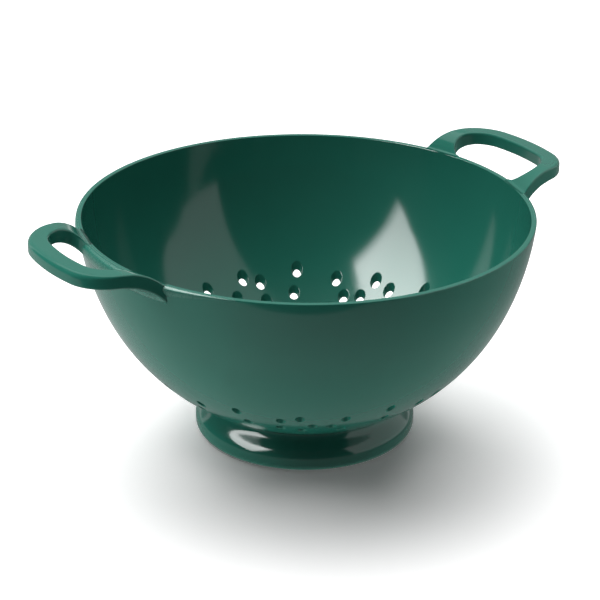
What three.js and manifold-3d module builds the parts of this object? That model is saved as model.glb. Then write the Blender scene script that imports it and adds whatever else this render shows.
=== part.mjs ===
// Colander: a moulded bowl with drain holes, two raised loop handles and a flared foot ring.
// Millimetres, Z up, handles on the X axis, the foot stands on Z = 0.
import * as THREE from "three";
import { mergeVertices } from "three/addons/utils/BufferGeometryUtils.js";
import Module from "manifold-3d";

const wasm = await Module();
wasm.setup();

// Bowl
const FLOOR_HEIGHT = 7.13;
const RIM_RADIUS = 125;
const WALL = 3;
const RIM_LEAN = 6;
const SHOULDER_LEAN = 24;
const UPPER_ARC_RADIUS = 155;

// Drain holes: one sector of the pattern, repeated round the bowl
const HOLE_DIAMETER = 5;
const HOLE_DRAFT = 9;
const SECTORS = 7;
const SECTOR_START = 58.8;
const SECTOR_HOLES = [
  { turn: 0, radius: 93 },
  { turn: 1.5, radius: 83 },
  { turn: 13.5, radius: 80 },
  { turn: 14.4, radius: 88.7 },
  { turn: 20.9, radius: 91.3 },
  { turn: 21.4, radius: 76.5 },
  { turn: 25.4, radius: 83.3 },
  { turn: 32.3, radius: 82.3 },
  { turn: 36.4, radius: 89.8 },
  { turn: 37.2, radius: 75.6 },
];
const FLOOR_RING_RADIUS = 33;
const FLOOR_INNER_RADIUS = 16;

// Foot ring
const FOOT_RADIUS = 61.7;
const FOOT_EDGE_HEIGHT = 7.5;
const FOOT_EDGE_ROUND = 4.5;
const FOOT_NECK_RADIUS = 54.5;
const FOOT_SEAT_WIDTH = 7.5;
const FOOT_TREAD = 5;

// Locating rib under the bowl, seated in a groove of the foot ring
const RIB_WIDTH = 2;
const RIB_HEIGHT = 1.4;

// Loop handles
const HANDLE_OVERHANG = 34.5;
const HANDLE_ROOT_HALF_SPAN = 45;
const HANDLE_TAPER = 11;
const HANDLE_CORNER_RADIUS = 25;
const HANDLE_BAR_ARC = 120;
const HANDLE_BAR_WIDTH = 10.8;
const HANDLE_LEG_WIDTH = 9.5;
const HANDLE_RISE = 9;
const HANDLE_TOP_ARC = 22.5;
const HANDLE_THICKNESS = 7.4;
const HANDLE_ROOT_DEPTH = 8.7;
const HANDLE_ROOT_OVERLAP = 6;
const HANDLE_UNDER_ARC = 27.4;
const FINGER_CORNER_RADIUS = 17;
const FINGER_ROOT_RADIUS = 8.7;
const LEG_EDGE_ROUND = 1.2;
const BAR_EDGE_ROUND = 3;
const RIM_LEDGE = 2;

// Bond line left between a fitted piece and the bowl
const BOND_GAP = 0.3;

const TURN_SEGMENTS = 56;
const HOLE_SEGMENTS = 8;
const GREEN = 0x1f5c4b;

const radians = (degrees) => (degrees * Math.PI) / 180;
const mix = (from, to, share) => from + (to - from) * share;
const smooth = (share) => {
  const held = Math.min(Math.max(share, 0), 1);
  return held * held * (3 - 2 * held);
};

function clean(geometry) {
  geometry.deleteAttribute("normal");
  geometry.deleteAttribute("uv");
  return mergeVertices(geometry, 1e-4);
}

function solid(geometry) {
  const merged = clean(geometry);
  return new wasm.Manifold(
    new wasm.Mesh({
      numProp: 3,
      vertProperties: new Float32Array(merged.attributes.position.array),
      triVerts: new Uint32Array(merged.index.array),
    }),
  );
}

function part(name, body) {
  const mesh = body.getMesh();
  const geometry = new THREE.BufferGeometry();
  geometry.setAttribute("position", new THREE.BufferAttribute(mesh.vertProperties, 3));
  geometry.setIndex(new THREE.BufferAttribute(mesh.triVerts, 1));
  geometry.computeVertexNormals();
  const material = new THREE.MeshStandardMaterial({ color: GREEN, roughness: 0.25, metalness: 0 });
  const result = new THREE.Mesh(geometry, material);
  result.name = name;
  return result;
}

// Turns an outline of [radius, height] pairs, listed upward along the outside, round the Z axis.
function turned(outline) {
  const points = outline.map(([radius, height]) => new THREE.Vector2(radius, height));
  const geometry = new THREE.LatheGeometry(points, TURN_SEGMENTS);
  geometry.rotateX(Math.PI / 2);
  return solid(geometry);
}

function arc(centre, radius, from, to, steps) {
  const points = [];
  for (let step = 0; step <= steps; step += 1) {
    const angle = radians(mix(from, to, step / steps));
    points.push([centre[0] + radius * Math.cos(angle), centre[1] + radius * Math.sin(angle)]);
  }
  return points;
}

// Bowl wall: two arcs that share a tangent at the shoulder, the lower one ending flat on the axis.
const lipRadius = WALL / 2;
const upperAxis = RIM_RADIUS - UPPER_ARC_RADIUS * Math.cos(radians(RIM_LEAN));
const shoulderRadius = upperAxis + UPPER_ARC_RADIUS * Math.cos(radians(SHOULDER_LEAN));
const lowerArcRadius = shoulderRadius / Math.cos(radians(SHOULDER_LEAN));
const lowerCentre = [0, FLOOR_HEIGHT + lowerArcRadius];
const upperCentre = [
  upperAxis,
  lowerCentre[1] + (UPPER_ARC_RADIUS - lowerArcRadius) * Math.sin(radians(SHOULDER_LEAN)),
];
const wallTop = upperCentre[1] - UPPER_ARC_RADIUS * Math.sin(radians(RIM_LEAN));
const rimHeight = wallTop + lipRadius;

function bowlWall(offset, lowerSteps, upperSteps) {
  const lower = arc(lowerCentre, lowerArcRadius + offset, -90, -SHOULDER_LEAN, lowerSteps);
  const upper = arc(upperCentre, UPPER_ARC_RADIUS + offset, -SHOULDER_LEAN, -RIM_LEAN, upperSteps);
  lower[0][0] = 0;
  return lower.concat(upper.slice(1));
}

function underside(radius, offset) {
  const reach = lowerArcRadius + offset;
  return lowerCentre[1] - Math.sqrt(reach * reach - radius * radius);
}

const lipCentre = [
  RIM_RADIUS - lipRadius * Math.cos(radians(RIM_LEAN)),
  wallTop + lipRadius * Math.sin(radians(RIM_LEAN)),
];

// Foot ring seat and rib, measured from the neck inward
const seatInner = FOOT_NECK_RADIUS - FOOT_SEAT_WIDTH;
const ribRadius = (FOOT_NECK_RADIUS + seatInner) / 2;

function ribBand(offset, spare) {
  const inner = ribRadius - RIB_WIDTH / 2 - spare;
  const outer = ribRadius + RIB_WIDTH / 2 + spare;
  const drop = RIB_HEIGHT + spare;
  return turned([
    [inner, underside(inner, offset) - drop],
    [outer, underside(outer, offset) - drop],
    [outer, underside(outer, offset) + WALL / 2],
    [inner, underside(inner, offset) + WALL / 2],
    [inner, underside(inner, offset) - drop],
  ]);
}

// Upright mould pin with draft, as wide as the hole's outside where it leaves the wall.
function holePin(radius) {
  const span = HOLE_DIAMETER + 2 * WALL;
  const spread = span * Math.tan(radians(HOLE_DRAFT));
  const narrow = HOLE_DIAMETER / 2 - spread;
  const wide = HOLE_DIAMETER / 2 + spread;
  const pin = new THREE.CylinderGeometry(wide, narrow, 2 * span, HOLE_SEGMENTS);
  pin.rotateX(Math.PI / 2);
  pin.translate(radius, 0, underside(radius, 0));
  return pin;
}

function bowl() {
  const outside = bowlWall(0, 10, 4);
  const lip = arc(lipCentre, lipRadius, -RIM_LEAN, 180 - RIM_LEAN, 5);
  const inside = bowlWall(-WALL, 10, 4).reverse();
  const shell = turned(outside.concat(lip.slice(1, -1), inside));
  const holes = [{ turn: 0, radius: 0 }];
  for (let sector = 0; sector < SECTORS; sector += 1) {
    const start = SECTOR_START + (sector * 360) / SECTORS;
    const half = 180 / SECTORS;
    SECTOR_HOLES.forEach(({ turn, radius }) => holes.push({ turn: start + turn, radius }));
    holes.push({ turn: start, radius: FLOOR_INNER_RADIUS });
    holes.push({ turn: start, radius: FLOOR_RING_RADIUS });
    holes.push({ turn: start + half, radius: FLOOR_RING_RADIUS });
  }
  let body = shell.add(ribBand(0, 0));
  holes.forEach(({ turn, radius }) => {
    const pin = holePin(radius);
    pin.rotateZ(radians(turn));
    body = body.subtract(solid(pin));
  });
  return body;
}

function footRing() {
  const edgeBottom = [FOOT_RADIUS - FOOT_EDGE_ROUND, FOOT_EDGE_ROUND];
  const treadInner = FOOT_RADIUS - FOOT_EDGE_ROUND - FOOT_TREAD;
  const neckTop = underside(FOOT_NECK_RADIUS, BOND_GAP);
  const flareSteps = 8;
  const flare = [];
  for (let step = 0; step <= flareSteps; step += 1) {
    const share = step / flareSteps;
    flare.push([mix(FOOT_RADIUS, FOOT_NECK_RADIUS, smooth(share)), mix(FOOT_EDGE_HEIGHT, neckTop, share)]);
  }
  const seatSteps = 3;
  const seat = [];
  for (let step = 1; step <= seatSteps; step += 1) {
    const radius = mix(FOOT_NECK_RADIUS, seatInner, step / seatSteps);
    seat.push([radius, underside(radius, BOND_GAP)]);
  }
  const outline = [[treadInner, 0]].concat(
    arc(edgeBottom, FOOT_EDGE_ROUND, -90, 0, 4),
    flare,
    seat,
    [[treadInner, 0]],
  );
  return turned(outline).subtract(ribBand(0, BOND_GAP));
}

// Height of the handle's top and underside: each leaves the rim on an arc and levels out.
function levelling(distance, radius, drop) {
  const run = Math.sqrt(radius * radius - (radius - drop) * (radius - drop));
  const left = Math.min(Math.max(run - (distance - RIM_RADIUS), 0), radius);
  return radius - Math.sqrt(radius * radius - left * left);
}
const handleTop = (distance) => rimHeight + HANDLE_RISE - levelling(distance, HANDLE_TOP_ARC, HANDLE_RISE);
function handleUnder(distance) {
  const level = HANDLE_RISE - HANDLE_THICKNESS;
  return rimHeight + level - levelling(distance, HANDLE_UNDER_ARC, level + HANDLE_ROOT_DEPTH);
}

// One edge of the loop seen from above: a tapering leg, a round corner and a crowned bar.
const handleReach = RIM_RADIUS + HANDLE_OVERHANG;
const taper = radians(HANDLE_TAPER);
const rootReach = Math.sqrt(RIM_RADIUS * RIM_RADIUS - HANDLE_ROOT_HALF_SPAN * HANDLE_ROOT_HALF_SPAN);
const legLine = HANDLE_ROOT_HALF_SPAN * Math.cos(taper) + rootReach * Math.sin(taper);

function loopEdge(inset, reach, barArc, cornerRadius) {
  const line = legLine - inset;
  const swing = barArc - cornerRadius;
  const bow = Math.asin((line - cornerRadius - (reach - barArc) * Math.sin(taper)) / swing) - taper;
  return {
    onLeg: (distance) => [distance, (line - distance * Math.sin(taper)) / Math.cos(taper)],
    onCorner: (share) => {
      const angle = mix(Math.PI / 2 - taper, bow, share);
      return [
        reach - barArc + swing * Math.cos(bow) + cornerRadius * Math.cos(angle),
        swing * Math.sin(bow) + cornerRadius * Math.sin(angle),
      ];
    },
    onBar: (share) => {
      const angle = bow * (1 - share);
      return [reach - barArc + barArc * Math.cos(angle), barArc * Math.sin(angle)];
    },
    line,
  };
}

// One half of the loop as matching points on its outer and inner edges, from the root to the bar.
function handleEdges() {
  const outer = loopEdge(0, handleReach, HANDLE_BAR_ARC, HANDLE_CORNER_RADIUS);
  const fingerReach = handleReach - HANDLE_BAR_WIDTH;
  const fingerArc = HANDLE_BAR_ARC - HANDLE_BAR_WIDTH;
  const inner = loopEdge(HANDLE_LEG_WIDTH, fingerReach, fingerArc, FINGER_CORNER_RADIUS);
  const rootSwing = RIM_RADIUS + FINGER_ROOT_RADIUS;
  const rootTurn = Math.asin((inner.line - FINGER_ROOT_RADIUS) / rootSwing) - taper;
  const edges = [];
  const inside = RIM_RADIUS - HANDLE_ROOT_OVERLAP;
  const legStart = outer.onCorner(0)[0];
  edges.push({
    outer: outer.onLeg(rootReach - HANDLE_ROOT_OVERLAP),
    inner: [inside * Math.cos(rootTurn), inside * Math.sin(rootTurn)],
    round: LEG_EDGE_ROUND,
  });
  const rootSteps = 6;
  const filletStart = rootTurn + radians(162);
  const legShare = 0.75;
  for (let step = 0; step <= rootSteps; step += 1) {
    const share = step / rootSteps;
    const angle = mix(filletStart, Math.PI / 2 - taper, share);
    edges.push({
      outer: outer.onLeg(mix(rootReach - HANDLE_ROOT_OVERLAP / 2, legStart, share * legShare)),
      inner: [
        rootSwing * Math.cos(rootTurn) + FINGER_ROOT_RADIUS * Math.cos(angle),
        rootSwing * Math.sin(rootTurn) + FINGER_ROOT_RADIUS * Math.sin(angle),
      ],
      round: LEG_EDGE_ROUND,
    });
  }
  const cornerSteps = 7;
  for (let step = 0; step <= cornerSteps; step += 1) {
    const share = step / cornerSteps;
    edges.push({
      outer: outer.onCorner(share),
      inner: inner.onCorner(share),
      round: mix(LEG_EDGE_ROUND, BAR_EDGE_ROUND, smooth(share)),
    });
  }
  const barSteps = 3;
  for (let step = 1; step <= barSteps; step += 1) {
    const share = step / barSteps;
    edges.push({ outer: outer.onBar(share), inner: inner.onBar(share), round: BAR_EDGE_ROUND });
  }
  return edges;
}

// Rounded section across the loop, from the inner edge over the top to the outer edge and back below.
function handleSection({ outer, inner, round }) {
  const width = Math.hypot(outer[0] - inner[0], outer[1] - inner[1]);
  const corner = (radius) => {
    const nip = radius * (1 - Math.SQRT1_2);
    return [
      [0, radius],
      [nip, nip],
      [radius, 0],
    ];
  };
  const place = (across, height) => {
    const reach = mix(inner[0], outer[0], across / width);
    const side = mix(inner[1], outer[1], across / width);
    return [reach, side, height(Math.hypot(reach, side))];
  };
  const fine = corner(LEG_EDGE_ROUND);
  const full = corner(round);
  const top = (depth) => (distance) => handleTop(distance) - depth;
  const under = (depth) => (distance) => handleUnder(distance) + depth;
  return [
    ...fine.map(([across, depth]) => place(across, top(depth))),
    ...full.toReversed().map(([across, depth]) => place(width - across, top(depth))),
    ...fine.map(([across, depth]) => place(width - across, under(depth))),
    ...fine.toReversed().map(([across, depth]) => place(across, under(depth))),
  ];
}

// Narrow ledge along the rim that joins the two legs under the finger gap.
function rimLedge() {
  const inner = RIM_RADIUS - HANDLE_ROOT_OVERLAP;
  const outer = RIM_RADIUS + RIM_LEDGE;
  const foot = rimHeight - HANDLE_ROOT_DEPTH;
  const ring = turned([
    [inner, foot],
    [outer, rimHeight - RIM_LEDGE],
    [outer, rimHeight],
    [inner, rimHeight],
    [inner, foot],
  ]);
  const between = 2 * HANDLE_ROOT_HALF_SPAN - HANDLE_LEG_WIDTH;
  const window = new THREE.BoxGeometry(2 * RIM_RADIUS, between, 4 * HANDLE_ROOT_DEPTH);
  window.translate(RIM_RADIUS, 0, rimHeight);
  return ring.intersect(solid(window));
}

function handle() {
  const half = handleEdges();
  const rings = half.map(handleSection);
  const mirrored = rings
    .slice(0, -1)
    .reverse()
    .map((ring) => ring.map(([reach, side, height]) => [reach, -side, height]));
  const all = rings.concat(mirrored);
  const count = all[0].length;
  const index = [];
  for (let station = 0; station < all.length - 1; station += 1) {
    for (let point = 0; point < count; point += 1) {
      const here = station * count + point;
      const next = station * count + ((point + 1) % count);
      index.push(here, next + count, next, here, here + count, next + count);
    }
  }
  const last = (all.length - 1) * count;
  for (let point = 1; point < count - 1; point += 1) {
    index.push(0, point, point + 1, last, last + point + 1, last + point);
  }
  const geometry = new THREE.BufferGeometry();
  geometry.setAttribute("position", new THREE.Float32BufferAttribute(all.flat(2), 3));
  geometry.setIndex(index);
  const keepOut = bowlWall(BOND_GAP, 10, 4);
  const rimEdge = keepOut[keepOut.length - 1][0];
  const above = rimHeight + 2 * HANDLE_RISE;
  const clearance = turned(keepOut.concat([[rimEdge, above], [0, above]]));
  return solid(geometry).add(rimLedge()).subtract(clearance);
}

const colander = new THREE.Group();
colander.name = "colander";
const loop = handle();
colander.add(part("bowl", bowl()));
colander.add(part("foot_ring", footRing()));
colander.add(part("handle_right", loop));
const leftHandle = part("handle_left", loop);
leftHandle.rotation.z = Math.PI;
colander.add(leftHandle);

export default colander;
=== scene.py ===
import math

import bpy
import numpy as np
from mathutils import Matrix, Quaternion, Vector
from mathutils.geometry import delaunay_2d_cdt


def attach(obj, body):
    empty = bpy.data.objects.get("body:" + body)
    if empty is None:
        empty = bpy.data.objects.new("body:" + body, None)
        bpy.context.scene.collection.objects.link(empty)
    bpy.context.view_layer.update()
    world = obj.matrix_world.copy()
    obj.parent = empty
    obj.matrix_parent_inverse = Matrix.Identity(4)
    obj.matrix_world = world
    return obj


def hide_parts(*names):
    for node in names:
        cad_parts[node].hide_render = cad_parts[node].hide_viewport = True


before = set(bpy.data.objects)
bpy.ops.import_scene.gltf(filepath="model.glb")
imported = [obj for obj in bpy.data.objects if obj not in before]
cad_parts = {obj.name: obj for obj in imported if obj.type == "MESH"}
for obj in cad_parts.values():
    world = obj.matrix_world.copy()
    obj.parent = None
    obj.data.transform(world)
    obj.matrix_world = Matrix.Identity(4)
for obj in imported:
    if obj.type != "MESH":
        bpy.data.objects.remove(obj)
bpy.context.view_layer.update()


# The bowl is one pressing in dark green melamine, 3 mm thick, with a flat-topped lip.
# Its wall is a part sphere below the shoulder and a steeper arc above it. Tapered pins in
# the mould leave the drain holes upright, each wider inside the bowl than outside.
mm = 0.001
floor_height = 7.13
rim_radius = 125.0
wall = 3.0
rim_lean = math.radians(6)
shoulder_lean = math.radians(24)
upper_arc = 155.0
lip = wall / 2

upper_axis = rim_radius - upper_arc * math.cos(rim_lean)
sphere = (upper_axis + upper_arc * math.cos(shoulder_lean)) / math.cos(shoulder_lean)
sphere_height = floor_height + sphere
upper_height = sphere_height + (upper_arc - sphere) * math.sin(shoulder_lean)
lip_axis = rim_radius - lip * math.cos(rim_lean)
lip_height = upper_height - (upper_arc - lip) * math.sin(rim_lean)
rim_height = upper_height - upper_arc * math.sin(rim_lean) + lip

turns = 288
pin_radius = 2.5
pin_draft = math.radians(9)
pin_sides = 32
outer_round = 0.2
inner_round = 0.45
round_steps = 6
plan_pitch = 2.6
plan_weld = 1e-5
drilled_zone = (67.0, 99.0)
floor_zone = 42.0

sectors = 7
sector_start = 58.8
sector_holes = [
    (0, 93), (1.5, 83), (13.5, 80), (14.4, 88.7), (20.9, 91.3),
    (21.4, 76.5), (25.4, 83.3), (32.3, 82.3), (36.4, 89.8), (37.2, 75.6),
]
floor_holes = [(0, 16), (0, 33), (180 / sectors, 33)]


def ring_of(pattern):
    """The pattern's holes, as turn in degrees and radius, repeated round the bowl."""
    spots = []
    for sector in range(sectors):
        for turn, radius in pattern:
            angle = math.radians(sector_start + 360 * sector / sectors + turn)
            spots.append((radius * math.cos(angle), radius * math.sin(angle)))
    return spots


def circle(radius, count, centre=(0.0, 0.0)):
    angle = np.arange(count) * 2 * math.pi / count
    return np.c_[centre[0] + radius * np.cos(angle), centre[1] + radius * np.sin(angle)]


def arc(axis, height, radius, start, end, steps):
    angle = np.linspace(start, end, steps + 1)
    return np.c_[axis + radius * np.cos(angle), height + radius * np.sin(angle)]


def placed(name, data):
    """A new object in the scene that holds a mesh, a lamp or a camera."""
    made = bpy.data.objects.new(name, data)
    bpy.context.scene.collection.objects.link(made)
    return made


class Skin:
    """Points with their surface normals and faces, in millimetres, gathered into one mesh."""

    def __init__(self):
        self.points, self.normals, self.faces = [], [], []
        self.count = 0

    def add(self, points, normals, faces):
        self.points.append(points)
        self.normals.append(normals)
        self.faces += [tuple(self.count + i for i in face) for face in faces]
        self.count += len(points)

    def strip(self, rings, normals):
        """Quads between closed rings that have the same number of points."""
        count = len(rings[0])
        faces = []
        for row in range(len(rings) - 1):
            for i in range(count):
                j = (i + 1) % count
                a, b = row * count, (row + 1) * count
                faces.append((a + i, a + j, b + j, b + i))
        self.add(np.concatenate(rings), np.concatenate(normals), faces)

    def turned(self, outline):
        """An outline of radius and height, walked with the outside on its right, turned."""
        tangent = np.gradient(outline, axis=0)
        tangent /= np.linalg.norm(tangent, axis=1)[:, None]
        angle = np.arange(turns) * 2 * math.pi / turns
        rings, normals = [], []
        for (radius, height), (along, up) in zip(outline, tangent):
            cos, sin = np.cos(angle), np.sin(angle)
            rings.append(np.c_[radius * cos, radius * sin, np.full(turns, height)])
            normals.append(np.c_[up * cos, up * sin, np.full(turns, -along)])
        self.strip(rings, normals)

    def piece(self, name):
        """The mesh object: equal points joined, faces turned outward, normals as given."""
        points = np.concatenate(self.points)
        normals = np.concatenate(self.normals)
        keys = np.round(points, 3) + 0.0
        _, first, place = np.unique(keys, axis=0, return_index=True, return_inverse=True)
        place = place.ravel()
        points, normals = points[first], normals[first]
        faces = []
        for face in self.faces:
            corners = list(dict.fromkeys(int(place[i]) for i in face))
            if len(corners) < 3:
                continue
            a, b, c = points[corners[0]], points[corners[1]], points[corners[-1]]
            facing = np.cross(b - a, c - a) @ normals[corners].sum(0)
            faces.append(corners if facing >= 0 else corners[::-1])
        mesh = bpy.data.meshes.new(name)
        mesh.from_pydata((points * mm).tolist(), [], faces)
        mesh.shade_smooth()
        mesh.normals_split_custom_set_from_vertices(normals.tolist())
        return placed(name, mesh)


def drilled_plan(inner, outer, spots, collar):
    """Flat triangles between two circles, leaving out the collar round each pin."""
    loops = [circle(outer, turns)] + [circle(collar, pin_sides, spot) for spot in spots]
    if inner:
        loops.append(circle(inner, turns))
    points, edges = [], []
    for loop in loops:
        base = len(points)
        points += loop.tolist()
        edges += [(base + i, base + (i + 1) % len(loop)) for i in range(len(loop))]
    steps = np.arange(-outer, outer, plan_pitch)
    x, y = np.meshgrid(steps, steps * math.sqrt(0.75))
    x = x + np.where(np.arange(len(steps)) % 2, plan_pitch / 2, 0)[:, None]
    fill = np.c_[x.ravel(), y.ravel()]
    away = np.hypot(fill[:, 0], fill[:, 1])
    keep = (away < outer - plan_pitch / 2) & (away > inner + plan_pitch / 2)
    for spot in spots:
        keep &= np.hypot(*(fill - spot).T) > collar + plan_pitch / 3
    points += fill[keep].tolist()
    flat = [Vector(point) for point in points]
    plan, _, faces, *_ = delaunay_2d_cdt(flat, edges, [], 0, plan_weld)
    plan = np.array([tuple(p) for p in plan])
    middle = plan[np.array(faces)].mean(1)
    away = np.hypot(middle[:, 0], middle[:, 1])
    keep = (away < outer) & (away > inner)
    for spot in spots:
        keep &= np.hypot(*(middle - spot).T) > collar * math.cos(math.pi / pin_sides)
    return plan, [face for face, kept in zip(faces, keep) if kept]


def lifted(plan, radius):
    """Heights of the sphere over the plan, and its slope there."""
    fall = np.sqrt(radius**2 - (plan**2).sum(1))
    return sphere_height - fall, plan / fall[:, None]


bowl_skin = Skin()
for zone_inner, zone_outer, spots in (
    (drilled_zone[0], drilled_zone[1], ring_of(sector_holes)),
    (0.0, floor_zone, ring_of(floor_holes) + [(0.0, 0.0)]),
):
    middle = np.array([((zone_inner + zone_outer) / 2, 0.0)])
    depth = lifted(middle, sphere - wall)[0][0] - lifted(middle, sphere)[0][0]
    wide_radius = pin_radius + depth * math.tan(pin_draft)
    wall_sides = (
        (sphere, 1, pin_radius, outer_round),
        (sphere - wall, -1, wide_radius, inner_round),
    )
    for radius, facing, hole, edge in wall_sides:
        plan, faces = drilled_plan(zone_inner, zone_outer, spots, hole + edge)
        height, slope = lifted(plan, radius)
        normals = facing * np.c_[slope, -np.ones(len(plan))]
        normals /= np.linalg.norm(normals, axis=1)[:, None]
        bowl_skin.add(np.c_[plan, height], normals, faces)
    for spot in spots:
        outward = circle(1.0, pin_sides)
        rings, normals = [], []
        for radius, facing, hole, edge in wall_sides:
            side_rings, side_normals = [], []
            for bend in np.linspace(0, math.pi / 2 + facing * pin_draft, round_steps):
                ring = np.array(spot) + outward * (hole + edge * (1 - math.sin(bend)))
                height, slope = lifted(ring, radius)
                height = height + facing * edge * (1 - math.cos(bend))
                normal = np.c_[
                    facing * slope * math.cos(bend) - outward * math.sin(bend),
                    np.full(pin_sides, -facing * math.cos(bend)),
                ]
                side_rings.append(np.c_[ring, height])
                side_normals.append(normal / np.linalg.norm(normal, axis=1)[:, None])
            rings += side_rings[::facing]
            normals += side_normals[::facing]
        bowl_skin.strip(rings, normals)


def on_sphere(radii, radius):
    radii = np.asarray(radii, float)
    return np.c_[radii, sphere_height - np.sqrt(radius**2 - radii**2)]


def eased(corners, ease, steps=5):
    """A line through the corners with each inner corner rounded."""
    corners = np.asarray(corners, float)
    line = [corners[0]]
    for before, corner, after in zip(corners, corners[1:], corners[2:]):
        back = (before - corner) / np.linalg.norm(before - corner) * ease
        on = (after - corner) / np.linalg.norm(after - corner) * ease
        for share in np.linspace(0, 1, steps):
            line.append(corner + back * (1 - share) ** 2 + on * share**2)
    return np.array(line + [corners[-1]])


# A rib under the bowl finds the groove in the foot ring.
neck_radius = 54.5
seat_width = 7.5
rib_width = 2.0
rib_height = 1.4
rib_ease = 0.25
rib_margin = 1.0
rib_middle = neck_radius - seat_width / 2
rib_sides = (rib_middle - rib_width / 2, rib_middle + rib_width / 2)
rib_zone = (rib_sides[0] - rib_margin, rib_sides[1] + rib_margin)
rib_ends = on_sphere(rib_zone, sphere)
rib_top = on_sphere(rib_sides, sphere)
rib_drop = np.array((0.0, rib_height))
rib_line = eased(
    [
        rib_ends[0], rib_top[0], rib_top[0] - rib_drop,
        rib_top[1] - rib_drop, rib_top[1], rib_ends[1],
    ],
    rib_ease,
)
under_bowl = np.concatenate([
    on_sphere(np.linspace(floor_zone, rib_zone[0], 5)[:-1], sphere),
    rib_line,
    on_sphere(np.linspace(rib_zone[1], drilled_zone[0], 12)[1:], sphere),
])
bowl_skin.turned(under_bowl)
bowl_skin.turned(on_sphere(np.linspace(drilled_zone[0], floor_zone, 16), sphere - wall))

# The lip has a flat top between two small rounded edges.
side_steps = 18
lip_steps = 10
outer_lip_round = 0.6
inner_lip_round = 0.5
lip_shares = np.array((0.02, 0.2, 0.5, 0.8, 0.98))[:, None]


def side_line(inset):
    """The wall's section from the drilled zone to the rim, set in from the outside."""
    radius = sphere - inset
    start = -math.acos(drilled_zone[1] / radius)
    lower = arc(0, sphere_height, radius, start, -shoulder_lean, side_steps)
    upper = arc(
        upper_axis, upper_height, upper_arc - inset, -shoulder_lean, -rim_lean, 2 * side_steps
    )
    return np.concatenate([lower, upper[1:]])


def lip_edge(radius, side):
    """One rounded edge of the lip, from the wall to the flat top; side is 1 on the outside."""
    outward = np.array((math.cos(rim_lean), -math.sin(rim_lean)))
    upward = np.array((math.sin(rim_lean), math.cos(rim_lean)))
    base = np.array((lip_axis, lip_height)) + side * (lip - radius) * outward
    centre = base + upward * (rim_height - radius - base[1]) / math.cos(rim_lean)
    start = -rim_lean if side > 0 else math.pi - rim_lean
    return arc(*centre, radius, start, math.pi / 2, lip_steps)


outer_edge = lip_edge(outer_lip_round, 1)
inner_edge = lip_edge(inner_lip_round, -1)[::-1]
lip_top = outer_edge[-1] * (1 - lip_shares) + inner_edge[0] * lip_shares
lip_line = np.concatenate([outer_edge, lip_top, inner_edge])
bowl_skin.turned(np.concatenate([side_line(0), lip_line, side_line(wall)[::-1]]))
bowl = bowl_skin.piece("bowl_moulding")


class Wire:
    """A shader socket. Arithmetic on it adds Math nodes to its tree."""

    def __init__(self, tree, socket=None):
        self.tree = tree
        self.socket = socket

    def node(self, kind, settings, inputs, output=0):
        """Any node: its settings first, then the values or links of its sockets."""
        made = self.tree.nodes.new(kind)
        for name, value in settings.items():
            setattr(made, name, value)
        for name, value in inputs.items():
            if isinstance(value, Wire):
                self.tree.links.new(value.socket, made.inputs[name])
            else:
                made.inputs[name].default_value = value
        return Wire(self.tree, made.outputs[output] if made.outputs else None)

    def math(self, operation, first, second):
        return self.node("ShaderNodeMath", {"operation": operation}, {0: first, 1: second})

    def __add__(self, other):
        return self.math("ADD", self, other)

    def __radd__(self, other):
        return self.math("ADD", other, self)

    def __sub__(self, other):
        return self.math("SUBTRACT", self, other)

    def __rsub__(self, other):
        return self.math("SUBTRACT", other, self)

    def __mul__(self, other):
        return self.math("MULTIPLY", self, other)

    def __rmul__(self, other):
        return self.math("MULTIPLY", other, self)


def cleared(owner):
    """A wire on the emptied node tree of a material or the world."""
    owner.use_nodes = True
    owner.node_tree.nodes.clear()
    return Wire(owner.node_tree)


deep_green = (0.0115, 0.102, 0.074, 1)
cloudy_green = (0.0145, 0.117, 0.086, 1)
cloud_scale = 22.0
cloud_share = 0.75
speck_scale = 1400.0
scratch_scale = (60.0, 2600.0, 900.0)
polish = 0.075
cloud_dulling = 0.03
scuff_dulling = 0.16
ripple_scale = 120.0
ripple_height = 0.000004
melamine_index = 1.5


def melamine(name, scuffed):
    """Pressed melamine: a clouded pigment under a hard gloss, duller where it is scuffed."""
    material = bpy.data.materials.new(name)
    start = cleared(material)
    place = start.node("ShaderNodeTexCoord", {}, {}, "Object")

    def noise(vector, scale, detail):
        inputs = {"Vector": vector, "Scale": scale, "Detail": detail}
        return start.node("ShaderNodeTexNoise", {}, inputs)

    cloud = noise(place, cloud_scale, 3.0)
    speck = noise(place, speck_scale, 1.0)
    mottle = cloud * cloud_share + speck * (1 - cloud_share)
    tint = start.node(
        "ShaderNodeMix",
        {"data_type": "RGBA"},
        {"Factor": mottle, "A": deep_green, "B": cloudy_green},
        "Result",
    )
    drawn_out = start.node("ShaderNodeMapping", {}, {"Vector": place, "Scale": scratch_scale})
    scratch = noise(drawn_out, 1.0, 2.0)
    dull = polish + cloud * cloud_dulling + scuffed(start, place) * scratch * scuff_dulling
    waves = noise(place, ripple_scale, 2.0)
    ripple = start.node(
        "ShaderNodeBump", {}, {"Strength": 1.0, "Distance": ripple_height, "Height": waves}
    )
    shader = start.node(
        "ShaderNodeBsdfPrincipled",
        {},
        {"Base Color": tint, "Roughness": dull, "IOR": melamine_index, "Normal": ripple},
    )
    start.node("ShaderNodeOutputMaterial", {}, {"Surface": shader})
    return material


def rubbed(wire, place, heights, marks):
    """Marks that go from one strength to another between two heights, in metres."""
    level = wire.node("ShaderNodeSeparateXYZ", {}, {"Vector": place}, "Z")
    span = {"Value": level, "From Min": heights[0], "From Max": heights[1]}
    return wire.node("ShaderNodeMapRange", {}, {**span, "To Min": marks[0], "To Max": marks[1]})


def bowl_scuffs(wire, place):
    """Spoons and food dull the inside of the floor, low down in the bowl."""
    return rubbed(wire, place, (0.03, 0.075), (1.0, 0.15))


bowl.data.materials.append(melamine("bowl_melamine", bowl_scuffs))
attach(bowl, "root")
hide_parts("bowl")


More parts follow.
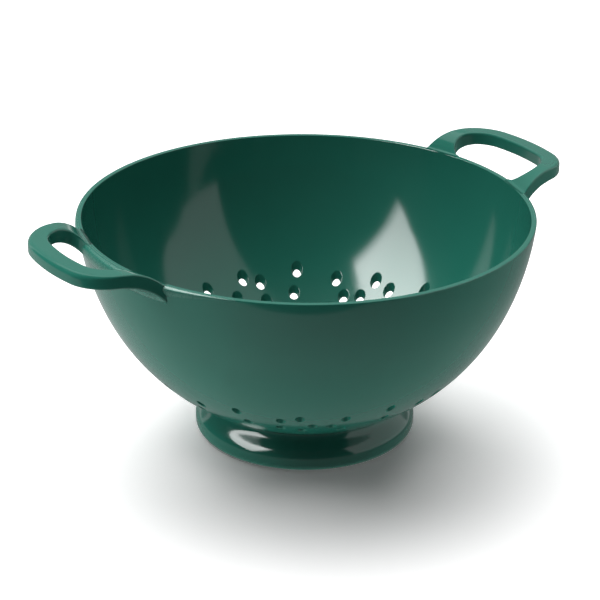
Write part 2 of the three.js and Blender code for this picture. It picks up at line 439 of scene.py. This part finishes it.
# The foot is a flared ring of the same melamine, bonded under the bowl. Its seat follows the
# bowl's underside, a groove in the seat takes the rib, and it stands on a narrow flat tread.
foot_radius = 61.7
edge_height = 7.5
edge_round = 4.5
tread = 5.0
bond = 0.3
groove_spare = 0.3
seat_ease = 0.3
neck_ease = 0.25
seat_inner = neck_radius - seat_width
tread_inner = foot_radius - edge_round - tread
seat_sphere = sphere + bond
neck_height = on_sphere([neck_radius], seat_sphere)[0][1]

share = np.linspace(0, 1, 41)
flare = np.c_[
    foot_radius + (neck_radius - foot_radius) * share**2 * (3 - 2 * share),
    edge_height + (neck_height - edge_height) * share,
]
groove_sides = (rib_sides[0] - groove_spare, rib_sides[1] + groove_spare)
groove_top = on_sphere(groove_sides, seat_sphere)
groove_drop = np.array((0.0, rib_height + groove_spare))
seat_line = eased(
    [
        flare[-1], groove_top[1], groove_top[1] - groove_drop,
        groove_top[0] - groove_drop, groove_top[0], on_sphere([seat_inner], seat_sphere)[0],
        (tread_inner, 0.0), (tread_inner + tread, 0.0),
    ],
    seat_ease,
)
foot_line = np.concatenate([
    arc(foot_radius - edge_round, edge_round, edge_round, -math.pi / 2, 0, 18),
    np.c_[np.full(3, foot_radius), np.linspace(edge_round, edge_height, 5)[1:-1]],
    flare[:-1],
])
neck_line = eased([flare[-3], flare[-1], seat_line[1]], neck_ease)
foot_skin = Skin()
foot_skin.turned(np.concatenate([foot_line[:-1], neck_line, seat_line[2:]]))
foot = foot_skin.piece("foot_ring_moulding")


def foot_scuffs(wire, place):
    """Sliding on a worktop rubs the bottom of the edge and the tread."""
    return rubbed(wire, place, (0.0005, 0.004), (2.0, 0.15))


foot.data.materials.append(melamine("foot_melamine", foot_scuffs))
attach(foot, "root")
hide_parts("foot_ring")


# The handles are two like loops of melamine at the rim. Each leg leaves the lip, climbs and
# levels out, and the legs taper in to a crowned bar. The roots go into the bowl's wall, and
# a narrow rolled ledge along the rim joins each pair of legs.
reach = 159.5
half_span = 45.0
taper = math.radians(11)
corner_radius = 25.0
bar_arc = 120.0
bar_width = 10.8
leg_width = 9.5
rise = 9.0
top_arc = 22.5
thickness = 7.4
root_depth = 8.7
under_arc = 27.4
finger_corner = 17.0
finger_root = 8.7
leg_round = 1.2
bar_round = 3.0
root_inset = 2.4
root_blend = 0.9
root_share = 0.75

root_reach = math.sqrt(rim_radius**2 - half_span**2)
leg_line = half_span * math.cos(taper) + root_reach * math.sin(taper)


def levelling(distance, radius, drop):
    run = math.sqrt(radius**2 - (radius - drop) ** 2)
    left = min(max(run - (distance - rim_radius), 0), radius)
    return radius - math.sqrt(radius**2 - left**2)


def loop_top(distance):
    """Height of the top: it leaves the lip level and blends into the climb."""
    climb = rise - levelling(distance, top_arc, rise)
    return rim_height + (climb + math.hypot(climb, root_blend)) / 2


def loop_under(distance):
    level = rise - thickness
    return rim_height + level - levelling(distance, under_arc, level + root_depth)


def loop_edge(inset, edge_reach, edge_arc, edge_corner):
    """One edge of the loop from above: points along its leg, its corner and its bar."""
    line = leg_line - inset
    swing = edge_arc - edge_corner
    centre = edge_reach - edge_arc
    bow = math.asin((line - edge_corner - centre * math.sin(taper)) / swing) - taper

    def leg(distance):
        return np.array((distance, (line - distance * math.sin(taper)) / math.cos(taper)))

    def corner(part):
        angle = (math.pi / 2 - taper) * (1 - part) + bow * part
        middle = np.array((centre + swing * math.cos(bow), swing * math.sin(bow)))
        return middle + edge_corner * np.array((math.cos(angle), math.sin(angle)))

    def bar(part):
        angle = bow * (1 - part)
        return np.array((centre + edge_arc * math.cos(angle), edge_arc * math.sin(angle)))

    return line, leg, corner, bar


def loop_stations():
    """Outer point, inner point and edge round at each station, from the root to mid bar."""
    _, leg, corner, bar = loop_edge(0, reach, bar_arc, corner_radius)
    inner_line, _, inner_corner, inner_bar = loop_edge(
        leg_width, reach - bar_width, bar_arc - bar_width, finger_corner
    )
    swing = rim_radius + finger_root
    turn = math.asin((inner_line - finger_root) / swing) - taper
    centre = swing * np.array((math.cos(turn), math.sin(turn)))
    inside = rim_radius - root_inset
    stations = [(
        leg(root_reach - root_inset),
        inside * np.array((math.cos(turn), math.sin(turn))),
        leg_round,
    )]
    leg_start = corner(0)[0]
    root_steps = 26
    for step in range(root_steps + 1):
        part = step / root_steps
        angle = (turn + math.pi) * (1 - part) + (math.pi / 2 - taper) * part
        along = root_reach + (leg_start - root_reach) * part * root_share
        point = centre + finger_root * np.array((math.cos(angle), math.sin(angle)))
        stations.append((leg(along), point, leg_round))
    corner_steps = 36
    for step in range(corner_steps + 1):
        part = step / corner_steps
        ease = part * part * (3 - 2 * part)
        edge = leg_round + (bar_round - leg_round) * ease
        stations.append((corner(part), inner_corner(part), edge))
    bar_steps = 20
    for step in range(1, bar_steps + 1):
        part = step / bar_steps
        stations.append((bar(part), inner_bar(part), bar_round))
    return stations


def loop_section(outer, inner, edge):
    """The rounded section across the loop at one station."""
    width = math.hypot(*(outer - inner))
    bends = np.linspace(0, math.pi / 2, 7)
    small = [(leg_round * (1 - math.cos(b)), leg_round * (1 - math.sin(b))) for b in bends]
    large = [(edge * (1 - math.cos(b)), edge * (1 - math.sin(b))) for b in bends]
    spread = np.linspace(0, 1, 8)[1:-1]
    over = [(leg_round + (width - edge - leg_round) * s, 0.0) for s in spread]
    below = [(width - leg_round - (width - 2 * leg_round) * s, 0.0) for s in spread]
    top = small + over + [(width - across, depth) for across, depth in large[::-1]]
    under = [(width - across, depth) for across, depth in small] + below + small[::-1]
    ring = []
    for line, height, sign in ((top, loop_top, -1), (under, loop_under, 1)):
        for across, depth in line:
            x, y = inner + (outer - inner) * across / width
            ring.append((x, y, height(math.hypot(x, y)) + sign * depth))
    return ring


def swept(name, rings, side, material):
    """A smooth piece through closed rings in a row, capped at both ends; side is 1 or -1."""
    rows, count = rings.shape[:2]
    last = (rows - 1) * count
    faces = [tuple(range(count)), tuple(range(last, last + count))[::-1]]
    for row in range(rows - 1):
        for i in range(count):
            j = (i + 1) % count
            a, b = row * count, (row + 1) * count
            faces.append((a + i, b + i, b + j, a + j))
    points = rings.reshape(-1, 3) * (side, side, 1)
    mesh = bpy.data.meshes.new(name)
    mesh.from_pydata((points * mm).tolist(), [], faces)
    mesh.shade_smooth()
    mesh.materials.append(material)
    made = placed(name, mesh)
    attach(made, "root")
    return made


def wall_reach(height):
    """Radius of the bowl's outside near the rim."""
    return upper_axis + math.sqrt(upper_arc**2 - (upper_height - height) ** 2)


# The ledge is full between the legs. Past them it thins and runs out along the rim.
ledge_end = math.asin((half_span - leg_width / 2) / rim_radius)
ledge_tail = 0.36
ledge_steps = 13
ledge_stations = 121
ledge_set_in = 1.1
ledge_key = 0.4
ledge_sink = 0.1
ledge_lift = 0.05
ledge_swell = 1.9
ledge_fall = 3.4
ledge_under = 5.5
ledge_belly = 0.35
tail_start = 0.6
tail_swell = 1.2
tail_fall = 0.6
tail_under = 0.5
tail_belly = 1.0


def ledge_section(angle):
    """The ledge cut across at an angle: a rolled top, then a belly down to the wall."""
    past = max((abs(angle) - ledge_end) / ledge_tail, 0)
    left = tail_start * (1 - past) ** 2 if past else 1.0
    belly = tail_belly if past else ledge_belly
    swell = tail_swell + ledge_swell * left
    fall = tail_fall + ledge_fall * left
    under = tail_under + ledge_under * math.sqrt(left)
    crown = rim_radius - ledge_set_in
    inside = crown - ledge_key
    brow = rim_height - fall
    line = [(inside, brow - under), (inside, rim_height - ledge_sink)]
    for bend in np.linspace(0, math.pi / 2, ledge_steps):
        drop = fall * (1 - math.cos(bend))
        line.append((crown + swell * math.sin(bend), rim_height + ledge_lift - drop))
    proud = crown + swell - wall_reach(brow) + ledge_lift
    for part in np.linspace(0, 1, ledge_steps)[1:]:
        height = brow - under * part
        stand = proud * max((1 + math.cos(math.pi * part)) / 2, 0) ** belly
        line.append((wall_reach(height) - ledge_lift + stand, height))
    return [(r * math.cos(angle), r * math.sin(angle), z) for r, z in line]


mark_scale = 60.0
hand_marks = 0.4
rim_marks = 2.2


def loop_scuffs(wire, place):
    """Hands polish the handles evenly, with few marks."""
    marks = wire.node("ShaderNodeTexNoise", {}, {"Vector": place, "Scale": mark_scale})
    return marks * hand_marks


def ledge_scuffs(wire, place):
    """Stacking and scraping dull the rim beside the handles."""
    marks = wire.node("ShaderNodeTexNoise", {}, {"Vector": place, "Scale": mark_scale})
    return marks + rim_marks


loop_half = [loop_section(*station) for station in loop_stations()]
loop_rest = [[(x, -y, z) for x, y, z in ring] for ring in loop_half[-2::-1]]
loop_rings = np.array(loop_half + loop_rest)
ledge_reach = ledge_end + ledge_tail
ledge_angles = np.linspace(ledge_reach, -ledge_reach, ledge_stations)
ledge_rings = np.array([ledge_section(angle) for angle in ledge_angles])
loop_melamine = melamine("handle_melamine", loop_scuffs)
ledge_melamine = melamine("ledge_melamine", ledge_scuffs)
flat_weight = 60
loops, ledges = [], []
for node, side in (("handle_right", 1), ("handle_left", -1)):
    loop = swept(node + "_loop", loop_rings, side, loop_melamine)
    loop.modifiers.new("flat_faces", "WEIGHTED_NORMAL").weight = flat_weight
    rim_ledge = swept(node + "_ledge", ledge_rings, side, ledge_melamine)
    for piece in (loop, rim_ledge):
        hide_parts(node)
    loops.append(loop)
    ledges.append(rim_ledge)


# The table is a plain white sheet that ends just in front of the picture. The camera sees it
# lit, so it keeps the shadow, and a faint glow seen only by the camera lifts that shadow. Gloss
# shows it as a glowing sheet of its own with painted light and shade: paler to the left, where
# light is painted on, and dimmer under the foot, where a shadow is painted.
view_turn = math.radians(-34.5)
table_half = 9.0
table_front = -0.275
table_level = -0.0002
paper_white = 0.75
camera_gain = 0.45
camera_glow = 0.09
pale_level = 0.48
pale_slope = 0.9
pale_least = 0.25
pale_most = 0.54
foot_shade = 0.4
foot_shade_reach = (0.055, 0.16)


def toward(side, up):
    """A direction in degrees: side is right of the camera's line, up is above the table."""
    side, up = math.radians(side), math.radians(up)
    flat = Vector((math.sin(side) * math.cos(up), -math.cos(side) * math.cos(up), math.sin(up)))
    return Matrix.Rotation(view_turn, 3, "Z") @ flat


def background_rays(wire):
    """Three wires, each 1 on rays that show the background: camera, gloss and glass."""
    rays = ("Is Camera Ray", "Is Glossy Ray", "Is Transmission Ray")
    return [wire.node("ShaderNodeLightPath", {}, {}, ray) for ray in rays]


def along(place, direction):
    """How far a place lies in a direction."""
    return place.node(
        "ShaderNodeVectorMath", {"operation": "DOT_PRODUCT"}, {0: place, 1: direction}, "Value"
    )


table_corners = [(-table_half, table_front), (table_half, table_front)]
table_corners += [(table_half, table_half), (-table_half, table_half)]
table_mesh = bpy.data.meshes.new("table")
table_mesh.from_pydata([(x, y, table_level) for x, y in table_corners], [], [(0, 1, 2, 3)])
table_mesh.transform(Matrix.Rotation(view_turn, 4, "Z"))
table = placed("table", table_mesh)
white_paper = bpy.data.materials.new("white_paper")
paper = cleared(white_paper)
straight, mirrored, through = background_rays(paper)
matt = paper.node("ShaderNodeBsdfDiffuse", {}, {"Color": paper_white + straight * camera_gain})
glow = paper.node("ShaderNodeEmission", {}, {"Color": straight * camera_glow, "Strength": 1.0})
lit = paper.node("ShaderNodeAddShader", {}, {0: matt, 1: glow})
paper_place = paper.node("ShaderNodeTexCoord", {}, {}, "Object")
# Painted light: the sheet seen in gloss is made paler toward the left.
painted_left_light = pale_level + along(paper_place, toward(-90, 0)) * pale_slope
pale = paper.math("MINIMUM", paper.math("MAXIMUM", painted_left_light, pale_least), pale_most)
distance = paper.node("ShaderNodeVectorMath", {"operation": "LENGTH"}, {0: paper_place}, "Value")
# Painted shadow: the sheet seen in gloss is made dimmer near the foot.
clear = paper.node(
    "ShaderNodeMapRange",
    {},
    {
        "Value": distance,
        "From Min": foot_shade_reach[0],
        "From Max": foot_shade_reach[1],
        "To Min": foot_shade,
    },
)
# The glowing sheet that gloss shows, carrying the painted light and the painted shadow.
painted_mirror_sheet = paper.node("ShaderNodeEmission", {}, {"Color": pale * clear, "Strength": 1.0})
sheet = paper.node("ShaderNodeMixShader", {}, {0: mirrored + through, 1: lit, 2: painted_mirror_sheet})
paper.node("ShaderNodeOutputMaterial", {}, {"Surface": sheet})
table_mesh.materials.append(white_paper)


# The studio shows only in reflections: a black curtain at the camera's end and overhead, a
# grey backdrop behind, and a bright card to the left that draws the long highlight. Soft
# lamps fill in the colander alone, and a soft light from behind the left throws the shadow.
sheet_columns = 34
sheet_rows = 35
card_reach = 3.0
card_low = toward(-51.8, 13.3)
card_high = toward(-37.3, 46.9)
card_low_end = toward(-110, 36)
card_high_end = toward(-110, 64.6)
card_side = card_low.cross(card_high).normalized()
card_fade = 0.09 * card_reach
card_level = 0.4
card_climb = 0.36


def card(name, rows, brightness, shade=None):
    """A sheet through rows of points that only shows in reflections, shaded over its face."""
    width = len(rows[0])
    points = [tuple(point) for row in rows for point in row]
    faces = []
    for row in range(len(rows) - 1):
        for i in range(row * width, row * width + width - 1):
            faces.append((i, i + 1, i + width + 1, i + width))
    mesh = bpy.data.meshes.new(name)
    mesh.from_pydata(points, [], faces)
    made = placed(name, mesh)
    made.visible_camera = False
    made.visible_diffuse = False
    made.visible_shadow = False
    surface = bpy.data.materials.new(name)
    wire = cleared(surface)
    color = shade(wire) if shade else (1, 1, 1, 1)
    shine = wire.node("ShaderNodeEmission", {}, {"Color": color, "Strength": brightness})
    wire.node("ShaderNodeOutputMaterial", {}, {"Surface": shine})
    mesh.materials.append(surface)
    return made


def wrapped(away, sides, ups):
    """Rows of points on a sheet bent round the colander, between two sides and two heights."""
    columns = np.linspace(*sides, sheet_columns)
    return [
        [toward(side, up) * away for side in columns] for up in np.linspace(*ups, sheet_rows)
    ]


def card_shade(wire):
    """Dimmer low down, and fading out along the side toward the camera."""
    place = wire.node("ShaderNodeTexCoord", {}, {}, "Object")
    level = wire.node("ShaderNodeSeparateXYZ", {}, {"Vector": place}, "Z")
    inward = along(place, card_side)
    fade = wire.node("ShaderNodeMapRange", {}, {"Value": inward, "From Max": card_fade})
    return fade * (card_level + level * card_climb)


card("curtain", wrapped(away=6.0, sides=(-125, 50), ups=(-80, 90)), brightness=0.03)
card("grey_backdrop", wrapped(away=5.0, sides=(130, 230), ups=(4, 38)), brightness=0.36)
card_corners = [
    [card_low * card_reach, card_low_end * card_reach],
    [card_high * card_reach, card_high_end * card_reach],
]
highlight_card = card("highlight_card", card_corners, brightness=11.5, shade=card_shade)

colander = bpy.data.collections.new("colander")
for piece in (bowl, foot, *loops, *ledges):
    colander.objects.link(piece)
highlighted = bpy.data.collections.new("highlighted")
for piece in (bowl, foot, *ledges):
    highlighted.objects.link(piece)
highlight_card.light_linking.receiver_collection = highlighted

fill_reach = 2.4
fills = (
    # name, side, up, size, energy
    ("left_softbox", -90, 45, 1.6, 29.0),
    ("top_fill", 5, 80, 1.6, 14.0),
    ("front_fill", -20, 25, 2.0, 7.0),
    ("left_fill", -90, -20, 1.6, 46.0),
    ("right_fill", 100, -8, 1.6, 32.0),
    ("low_fill", -20, -84, 1.6, 41.0),
)
for name, side, up, size, energy in fills:
    light = bpy.data.lights.new(name, "AREA")
    light.size = size
    light.energy = energy
    light.cycles.max_bounces = 0
    line = toward(side, up)
    fill = placed(name, light)
    fill.location = line * fill_reach
    fill.rotation_mode = "QUATERNION"
    fill.rotation_quaternion = line.to_track_quat("Z", "Y")
    fill.visible_camera = False
    fill.visible_glossy = False
    fill.light_linking.receiver_collection = colander
    fill.light_linking.blocker_collection = colander

sky_from = toward(-157, 59)
sky_gain = 10.3
sky_edge = 5.9
world = bpy.data.worlds.new("white_room")
room = cleared(world)
camera_ray, gloss_ray, glass_ray = background_rays(room)
seen = camera_ray + gloss_ray + glass_ray
sky = room.node("ShaderNodeTexCoord", {}, {}, "Generated")
soft_light = room.math("MAXIMUM", along(sky, sky_from) * sky_gain - sky_edge, 0.0)
air = room.node("ShaderNodeBackground", {}, {"Color": soft_light + seen * (1.0 - soft_light)})
room.node("ShaderNodeOutputWorld", {}, {"Surface": air})
bpy.context.scene.world = world


# The camera has a long lens and looks down on the colander at the photograph's viewing angle.
# Its place, its aim and its slight roll are fitted to the rim, the foot and the wall.
camera_up = 24.71
camera_away = 1.2
camera_centre = Vector((0, 0, 0.060))
camera_aim = Vector((-0.00309, 0.00586, 0.07273))
camera_roll = math.radians(0.42)
camera = bpy.data.cameras.new("camera")
camera.sensor_width = 36.0
camera.lens = 129.1
stand = placed("camera", camera)
stand.location = camera_centre + toward(0, camera_up) * camera_away
sight = Matrix.Rotation(view_turn, 3, "Z") @ camera_aim - stand.location
roll = Quaternion((0, 0, 1), camera_roll)
stand.rotation_mode = "QUATERNION"
stand.rotation_quaternion = sight.to_track_quat("-Z", "Y") @ roll
bpy.context.scene.camera = stand
bpy.context.scene.view_settings.view_transform = "Standard"
